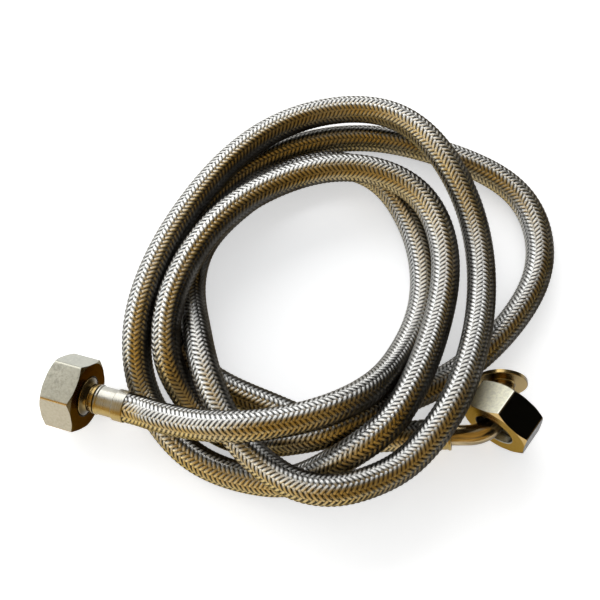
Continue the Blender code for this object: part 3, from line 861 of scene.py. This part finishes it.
def liner(context, line):
    """The rubber tube under the braid, as a curve along the route."""
    braid = context.scene.hose_braid
    data = bpy.data.curves.new("hose_liner", "CURVE")
    data.dimensions = "3D"
    data.bevel_depth = braid.liner_radius
    data.bevel_resolution = 4
    data.use_fill_caps = True
    points = line[::LINER_STEP]
    if (len(line) - 1) % LINER_STEP:
        points = np.vstack([points, line[-1]])
    spline = data.splines.new("POLY")
    spline.points.add(len(points) - 1)
    for point, place in zip(spline.points, points):
        point.co = (*place, 1.0)
    piece = bpy.data.objects.new("hose_liner", data)
    context.scene.collection.objects.link(piece)
    data.materials.append(rubber_look("liner_rubber", context.scene.hose_finish))
    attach(piece, "hose_and_fittings")
    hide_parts("hose")
    return piece


def braid_strands(context, line, hand, strands, look, name):
    """Strands that wind one way, each a closed ribbon that goes over two and under two."""
    braid = context.scene.hose_braid
    count = braid.strand_count
    middle = braid.outer_radius - braid.strand_height / 2 - braid.lift
    pace = math.pi * braid.outer_radius / (count * math.tan(braid.wind_angle))
    points = read_line(line, pace / braid.steps, braid.tuck)
    rows = len(points)
    shape = bmesh.new()
    for strand in strands:
        bmesh.ops.create_grid(shape, x_segments=4, y_segments=rows - 1, size=1.0)
    mesh = bpy.data.meshes.new("braid_layout")
    shape.to_mesh(mesh)
    flat = np.zeros(len(mesh.vertices) * 3)
    mesh.vertices.foreach_get("co", flat)
    flat = flat.reshape(len(strands), -1, 3)
    column = np.rint((flat[:, :, 0] + 1) * 2).astype(int)
    row = np.rint((flat[:, :, 1] + 1) / 2 * (rows - 1)).astype(int)
    placed_points = strand_places(braid, points, column, row, hand, np.array(strands), middle)
    mesh.vertices.foreach_set("co", placed_points.reshape(-1))
    strand_map(mesh, column.reshape(-1), row.reshape(-1))
    shape.free()
    shape = bmesh.new()
    shape.from_mesh(mesh)
    bpy.data.meshes.remove(mesh)
    bmesh.ops.remove_doubles(shape, verts=shape.verts, dist=0.001 * MM)
    ends = [edge for edge in shape.edges if edge.is_boundary]
    bmesh.ops.holes_fill(shape, edges=ends, sides=4)
    bmesh.ops.recalc_face_normals(shape, faces=shape.faces)
    return finished(name, shape, look, "hose_and_fittings", even=False, flat_angle=75)


def strand_places(braid, points, column, row, hand, strands, middle):
    """Where each corner of each strand's grid lies on the hose."""
    tangent, side, up = untwisted_frames(points)
    count = braid.strand_count
    strand = strands[:, None]
    crossing = row / braid.steps
    angle = 2 * math.pi * strand / count + hand * math.pi * crossing / count
    if hand > 0:
        wave = np.cos(math.pi / 2 * (crossing - 0.5 + 2 * strand))
    else:
        wave = -np.cos(math.pi / 2 * (2 * strand - crossing - 0.5))
    around = np.array([-1.0, 0.0, 1.0, 0.0, -1.0])[column] * braid.strand_width / 2
    rise = np.array([0.0, 1.0, 0.0, -1.0, 0.0])[column] * braid.strand_height / 2
    radius = middle + wave * braid.lift + rise
    slip = -hand * math.sin(braid.wind_angle) * around
    angle = angle + math.cos(braid.wind_angle) * around / middle
    out = np.cos(angle)[..., None] * side[row] + np.sin(angle)[..., None] * up[row]
    return points[row] + tangent[row] * slip[..., None] + out * radius[..., None]


def strand_map(mesh, column, row):
    """The weave's map: across the strand from edge to edge, and along it by rows."""
    layer = mesh.uv_layers.new(name="weave")
    corner = np.zeros(len(mesh.loops), dtype=int)
    mesh.loops.foreach_get("vertex_index", corner)
    across = np.array([0.0, 0.5, 1.0, 0.5, 0.0])[column[corner]]
    places = np.stack([across, row[corner] / MAP_ROWS], axis=1)
    layer.uv.foreach_set("vector", places.reshape(-1))


def hose(context):
    braid = context.scene.hose_braid
    line = centre_line()
    inner = liner(context, line)
    look = braid_look(braid, context.scene.hose_finish)
    half = braid.strand_count // 2
    for label, hand in (("right", 1), ("left", -1)):
        for part in (0, 1):
            strands = range(part * half, (part + 1) * half)
            name = "braid_%s_wound_%d" % (label, part + 1)
            braid_strands(context, line, hand, strands, look, name)


def studio_camera(context, stage):
    data = bpy.data.cameras.new("studio_camera")
    data.lens = stage.lens
    data.sensor_width = 36.0
    data.clip_start = 0.01
    camera = bpy.data.objects.new("studio_camera", data)
    context.scene.collection.objects.link(camera)
    target = Vector((3.6, 54.0, 0.0)) * MM
    back = Vector((0, -math.cos(stage.elevation), math.sin(stage.elevation)))
    camera.location = target + back * stage.distance
    camera.rotation_euler = (-back).to_track_quat("-Z", "Y").to_euler()
    context.scene.camera = camera


def lamp(context, name, spot, target, width, height, power, colour):
    data = bpy.data.lights.new(name, "AREA")
    data.shape = "RECTANGLE"
    data.size = width
    data.size_y = height
    data.energy = power
    data.color = colour
    made = bpy.data.objects.new(name, data)
    context.scene.collection.objects.link(made)
    made.location = spot
    made.rotation_euler = (Vector(target) - Vector(spot)).to_track_quat("-Z", "Y").to_euler()


def paper_look(name, colour, glow):
    """Matt paper that the camera and the reflections see brighter than the lamps leave it."""
    look, tree, shader = new_look(name, 0.0)
    tone = blend_colours(tree, noise(tree, object_place(tree), 3.0), times(colour, 0.995), colour)
    feed(tree, shader.inputs["Base Color"], tone)
    shader.inputs["Roughness"].default_value = 0.9
    shader.inputs["Specular IOR Level"].default_value = 0.0
    rays = node(tree, "ShaderNodeLightPath")
    seen = math_node(tree, "ADD", rays.outputs["Is Camera Ray"], rays.outputs["Is Glossy Ray"])
    seen = math_node(tree, "ADD", seen, rays.outputs["Is Transmission Ray"], clamp=True)
    shader.inputs["Emission Color"].default_value = (1.0, 1.0, 1.0, 1.0)
    feed(tree, shader.inputs["Emission Strength"], math_node(tree, "MULTIPLY", seen, glow))
    return look


def stage_piece(context, name, shape, look):
    mesh = bpy.data.meshes.new(name)
    shape.to_mesh(mesh)
    shape.free()
    mesh.materials.append(look)
    made = bpy.data.objects.new(name, mesh)
    context.scene.collection.objects.link(made)
    return made


def floor_and_wall(context):
    """A round white floor with a white wall round it."""
    floor = bmesh.new()
    bmesh.ops.create_circle(floor, cap_ends=True, segments=96, radius=ROOM_RADIUS)
    stage_piece(context, "studio_floor", floor, paper_look("floor_paper", (0.96, 0.96, 0.96), 0.5))
    wall = bmesh.new()
    bmesh.ops.create_circle(wall, segments=96, radius=ROOM_RADIUS)
    grown = bmesh.ops.extrude_edge_only(wall, edges=wall.edges[:])
    tops = [item for item in grown["geom"] if isinstance(item, bmesh.types.BMVert)]
    bmesh.ops.translate(wall, verts=tops, vec=(0, 0, WALL_HEIGHT))
    stage_piece(context, "studio_wall", wall, paper_look("wall_paper", (0.93, 0.93, 0.93), 0.45))


def card(context, name, spot, target, width, height, colour):
    """A studio card that only shows in the metal's reflections."""
    shape = bmesh.new()
    bmesh.ops.create_grid(shape, x_segments=1, y_segments=1, size=0.5)
    bmesh.ops.scale(shape, vec=(width, height, 1), verts=shape.verts)
    turn = (Vector(target) - Vector(spot)).to_track_quat("Z", "Y").to_matrix().to_4x4()
    bmesh.ops.transform(shape, matrix=Matrix.Translation(spot) @ turn, verts=shape.verts)
    # The card glows with its own colour, as a dim light that only the reflections see
    look, _, shader = new_look(name + "_glow", 0.0)
    shader.inputs["Base Color"].default_value = (*times(colour, 0.2), 1.0)
    shader.inputs["Roughness"].default_value = 1.0
    shader.inputs["Emission Color"].default_value = (*colour, 1.0)
    shader.inputs["Emission Strength"].default_value = 1.0
    made = stage_piece(context, name, shape, look)
    made.visible_camera = False
    made.visible_diffuse = False
    made.visible_shadow = False
    made.visible_transmission = False


def studio(context):
    stage = context.scene.hose_stage
    studio_camera(context, stage)
    floor_and_wall(context)
    middle = (0.0, 0.05, 0.0)
    lamp(context, "key_light", (-0.45, 1.15, 0.8), middle, 1.9, 1.1, stage.key_power, (1.0, 1.0, 1.0))
    lamp(context, "side_light", (-1.2, 0.1, 0.5), middle, 1.2, 0.7, stage.side_power, (0.94, 0.98, 1.0))
    lamp(context, "warm_light", (0.1, -1.3, 0.45), middle, 1.4, 0.4, stage.warm_power, (1.0, 0.72, 0.32))
    card(context, "warm_card", (-0.25, -0.4, 0.95), (-0.25, -0.4, 0.0), 1.3, 1.3, (0.42, 0.28, 0.085))
    card(context, "low_warm_card", (-0.1, -0.95, 0.36), middle, 2.2, 0.7, (0.46, 0.31, 0.09))
    card(context, "dark_card", (0.72, 0.05, 0.5), middle, 2.4, 1.7, (0.004, 0.004, 0.004))
    world = bpy.data.worlds.new("studio_room")
    world.use_nodes = True
    background = world.node_tree.nodes["Background"]
    background.inputs["Color"].default_value = (0.96, 0.98, 1.0, 1.0)
    background.inputs["Strength"].default_value = stage.room
    context.scene.world = world
    context.scene.view_settings.view_transform = "Standard"


class HOSE_OT_stage(Operator):
    """Adds the camera, the lights, the floor and the world"""
    bl_idname = "hose.stage"
    bl_label = "Stage"

    def execute(self, context):
        studio(context)
        return {"FINISHED"}


class HOSE_OT_ferrules(Operator):
    """Adds the two crimped sleeves"""
    bl_idname = "hose.ferrules"
    bl_label = "Ferrules"

    def execute(self, context):
        ferrules(context)
        return {"FINISHED"}


class HOSE_OT_hose(Operator):
    """Adds the rubber liner and the woven wire braid"""
    bl_idname = "hose.hose"
    bl_label = "Braided hose"

    def execute(self, context):
        hose(context)
        return {"FINISHED"}


class HOSE_OT_nuts(Operator):
    """Adds the two union nuts with their threads"""
    bl_idname = "hose.nuts"
    bl_label = "Union nuts"

    def execute(self, context):
        union_nuts(context)
        return {"FINISHED"}


class HOSE_OT_tail(Operator):
    """Adds the straight tail and its sealing washer"""
    bl_idname = "hose.tail"
    bl_label = "Straight tail and washer"

    def execute(self, context):
        straight_tail(context)
        sealing_washer(context)
        return {"FINISHED"}


class HOSE_OT_elbow(Operator):
    """Adds the bent tube and its flange"""
    bl_idname = "hose.elbow"
    bl_label = "Elbow"

    def execute(self, context):
        elbow_tube(context)
        elbow_flange(context)
        return {"FINISHED"}


class HOSE_PT_panel(Panel):
    """Lists the pieces in the 3D view's sidebar"""
    bl_label = "Braided inlet hose"
    bl_idname = "HOSE_PT_panel"
    bl_space_type = "VIEW_3D"
    bl_region_type = "UI"
    bl_category = "Hose"

    def draw(self, context):
        for step in STEPS:
            self.layout.operator(step.bl_idname)
        for group in SETTINGS:
            box = self.layout.box()
            values = getattr(context.scene, group)
            for label in values.bl_rna.properties.keys():
                if label not in {"rna_type", "name"}:
                    box.prop(values, label)


STEPS = (HOSE_OT_stage, HOSE_OT_ferrules, HOSE_OT_hose, HOSE_OT_nuts, HOSE_OT_tail, HOSE_OT_elbow)
SETTINGS = {
    "hose_braid": BraidSettings,
    "hose_nuts": NutSettings,
    "hose_fittings": FittingSettings,
    "hose_finish": FinishSettings,
    "hose_stage": StageSettings,
}


def register():
    for group in list(SETTINGS.values()) + list(STEPS) + [HOSE_PT_panel]:
        bpy.utils.register_class(group)
    for label, group in SETTINGS.items():
        setattr(bpy.types.Scene, label, PointerProperty(type=group))


def unregister():
    for label in SETTINGS:
        delattr(bpy.types.Scene, label)
    for group in [HOSE_PT_panel] + list(reversed(STEPS)) + list(SETTINGS.values()):
        bpy.utils.unregister_class(group)


def main():
    register()
    bpy.ops.hose.stage()
    bpy.ops.hose.ferrules()
    bpy.ops.hose.hose()
    bpy.ops.hose.nuts()
    bpy.ops.hose.tail()
    bpy.ops.hose.elbow()


if __name__ == "__main__":
    main()
